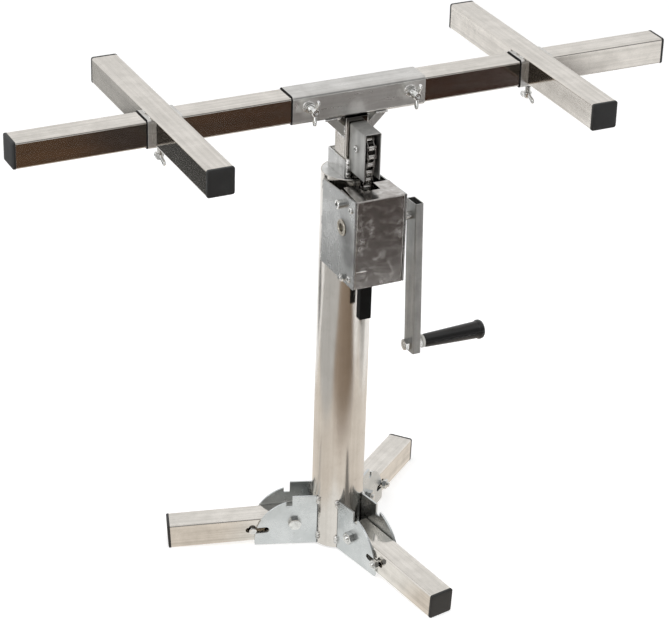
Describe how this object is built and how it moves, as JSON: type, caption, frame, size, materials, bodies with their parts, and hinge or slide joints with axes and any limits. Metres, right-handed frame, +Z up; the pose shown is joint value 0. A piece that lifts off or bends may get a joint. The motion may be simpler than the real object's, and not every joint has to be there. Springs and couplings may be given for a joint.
{
  "type": "cabinet lift jack",
  "caption": "Cabinet lift jack: folding tripod, round mast with a crank-driven roller chain, square lifting tube and a load beam with sliding cross-arms.",
  "frame": {"origin": "on the mast axis at the floor", "axes": "+Z up along the mast, +X along the load beam towards the crank side, -Y towards the winch"},
  "size_m": [0.984, 0.4576, 0.7376],
  "materials": {
    "tube_steel": "satin brushed stainless",
    "mast_steel": "polished stainless",
    "sleeve_steel": "dull bare steel",
    "plate_zinc": "pale zinc plate",
    "cover_galvanised": "galvanised sheet",
    "bolt_zinc": "bright zinc",
    "chain_steel": "oiled steel",
    "bush_bronze": "dull bronze",
    "cap_black": "matte moulded",
    "grip_black": "glossy moulded",
    "sleeve_black": "soft matte",
    "nylon_white": "natural nylon"
  },
  "bodies": {
    "base": {"mast_tube": "mast_steel", "mast_top_plate": "sleeve_steel", "guide_sleeve": "sleeve_steel", "guide_pad": "nylon_white", "fan_plates": "plate_zinc", "leg_pivot_bolts": "bolt_zinc", "gearbox_plate_left": "plate_zinc", "gearbox_plate_right": "plate_zinc", "gearbox_cover": "cover_galvanised", "cover_screws": "bolt_zinc", "shaft_bushes": "bush_bronze", "pawl_screw": "bolt_zinc", "chain_guide_bolt": "bolt_zinc", "chain_guide_spacer": "bolt_zinc", "chain_shoe": "plate_zinc", "chain_box": "sleeve_steel", "idler_axle": "bolt_zinc", "chain_roller_links": "chain_steel", "chain_pin_links": "chain_steel", "chain_end_sleeve": "sleeve_black"},
    "crank": {"crank_shaft": "chain_steel", "drive_sprocket": "chain_steel", "ratchet_wheel": "chain_steel", "crank_arm": "sleeve_steel", "handle_bolt": "bolt_zinc"},
    "grip": {"crank_grip": "grip_black"},
    "idler": {"idler_sprocket": "chain_steel"},
    "pawl": {"ratchet_pawl": "chain_steel"},
    "lift": {"inner_tube": "tube_steel", "foot_glide": "nylon_white", "chain_lug": "sleeve_steel", "beam_sleeve": "sleeve_steel", "head_gussets": "sleeve_steel", "beam_lock_nuts": "bolt_zinc"},
    "beam_left": {"beam_tube_left": "tube_steel", "beam_cap_left": "cap_black"},
    "arm_left": {"crossarm_left": "tube_steel", "crossarm_collar_left": "sleeve_steel", "crossarm_caps_left": "cap_black", "collar_nut_left": "bolt_zinc"},
    "beam_wing_left": {"beam_wing_bolt_left": "bolt_zinc"},
    "collar_wing_left": {"collar_wing_bolt_left": "bolt_zinc"},
    "beam_right": {"beam_tube_right": "tube_steel", "beam_cap_right": "cap_black"},
    "arm_right": {"crossarm_right": "tube_steel", "crossarm_collar_right": "sleeve_steel", "crossarm_caps_right": "cap_black", "collar_nut_right": "bolt_zinc"},
    "beam_wing_right": {"beam_wing_bolt_right": "bolt_zinc"},
    "collar_wing_right": {"collar_wing_bolt_right": "bolt_zinc"},
    "leg_1": {"leg_tube_1": "tube_steel", "leg_cap_1": "cap_black"},
    "lock_1": {"leg_lock_1": "bolt_zinc"},
    "leg_2": {"leg_tube_2": "tube_steel", "leg_cap_2": "cap_black"},
    "lock_2": {"leg_lock_2": "bolt_zinc"},
    "leg_3": {"leg_tube_3": "tube_steel", "leg_cap_3": "cap_black"},
    "lock_3": {"leg_lock_3": "bolt_zinc"}
  },
  "joints": [
    {"name": "lift_slide", "type": "slide", "parent": "base", "child": "lift", "axis": [0, 0, 1], "range_m": [0, 0.40005], "deforming": ["chain_roller_links", "chain_pin_links"]},
    {"name": "crank_turn", "type": "hinge", "parent": "base", "child": "crank", "pos_m": [0, -0.0653, 0.549], "axis": [-1, 0, 0], "range_deg": [0, 1140]},
    {"name": "idler_turn", "type": "hinge", "parent": "base", "child": "idler", "pos_m": [0, -0.04857, 0.655], "axis": [1, 0, 0], "range_deg": [0, 1265]},
    {"name": "pawl_swing", "type": "hinge", "parent": "base", "child": "pawl", "pos_m": [0, -0.0632, 0.5841], "axis": [1, 0, 0], "range_deg": [-12, 10]},
    {"name": "grip_spin", "type": "hinge", "parent": "crank", "child": "grip", "pos_m": [0.0908, -0.07537, 0.35025], "axis": [1, 0, 0], "continuous": true},
    {"name": "beam_slide_left", "type": "slide", "parent": "lift", "child": "beam_left", "axis": [-1, 0, 0], "range_m": [0, 0.06]},
    {"name": "arm_slide_left", "type": "slide", "parent": "beam_left", "child": "arm_left", "axis": [-1, 0, 0], "range_m": [-0.15, 0.18]},
    {"name": "beam_wing_turn_left", "type": "hinge", "parent": "lift", "child": "beam_wing_left", "pos_m": [-0.0735, -0.0372, 0.7162], "axis": [0, -1, 0], "range_deg": [0, 720]},
    {"name": "collar_wing_turn_left", "type": "hinge", "parent": "arm_left", "child": "collar_wing_left", "pos_m": [-0.281, 0, 0.675], "axis": [0, 0, -1], "range_deg": [0, 720]},
    {"name": "beam_slide_right", "type": "slide", "parent": "lift", "child": "beam_right", "axis": [1, 0, 0], "range_m": [0, 0.06]},
    {"name": "arm_slide_right", "type": "slide", "parent": "beam_right", "child": "arm_right", "axis": [1, 0, 0], "range_m": [-0.15, 0.18]},
    {"name": "beam_wing_turn_right", "type": "hinge", "parent": "lift", "child": "beam_wing_right", "pos_m": [0.0805, -0.0372, 0.7162], "axis": [0, -1, 0], "range_deg": [0, 720]},
    {"name": "collar_wing_turn_right", "type": "hinge", "parent": "arm_right", "child": "collar_wing_right", "pos_m": [0.281, 0, 0.675], "axis": [0, 0, -1], "range_deg": [0, 720]},
    {"name": "leg_fold_1", "type": "hinge", "parent": "base", "child": "leg_1", "pos_m": [-0.06135, 0.02148, 0.03926], "axis": [0.3305, 0.9438, 0], "range_deg": [0, 93.5]},
    {"name": "lock_slide_1", "type": "slide", "parent": "leg_1", "child": "lock_1", "axis": [-0.942, 0.3299, -0.061], "range_m": [-0.0195, 0.006]},
    {"name": "leg_fold_2", "type": "hinge", "parent": "base", "child": "leg_2", "pos_m": [0.01207, -0.06387, 0.03926], "axis": [-0.9826, -0.1857, 0], "range_deg": [0, 93.5]},
    {"name": "lock_slide_2", "type": "slide", "parent": "leg_2", "child": "lock_2", "axis": [0.1853, -0.9808, -0.061], "range_m": [-0.0195, 0.006]},
    {"name": "leg_fold_3", "type": "hinge", "parent": "base", "child": "leg_3", "pos_m": [0.04928, 0.04239, 0.03926], "axis": [0.6521, -0.7581, 0], "range_deg": [0, 93.5]},
    {"name": "lock_slide_3", "type": "slide", "parent": "leg_3", "child": "lock_3", "axis": [0.7567, 0.6509, -0.061], "range_m": [-0.0195, 0.006]}
  ],
  "couplings": [
    {"joint": "crank_turn", "follows": "lift_slide", "rad_per_m": 49.474},
    {"joint": "idler_turn", "follows": "lift_slide", "rad_per_m": 54.971}
  ]
}
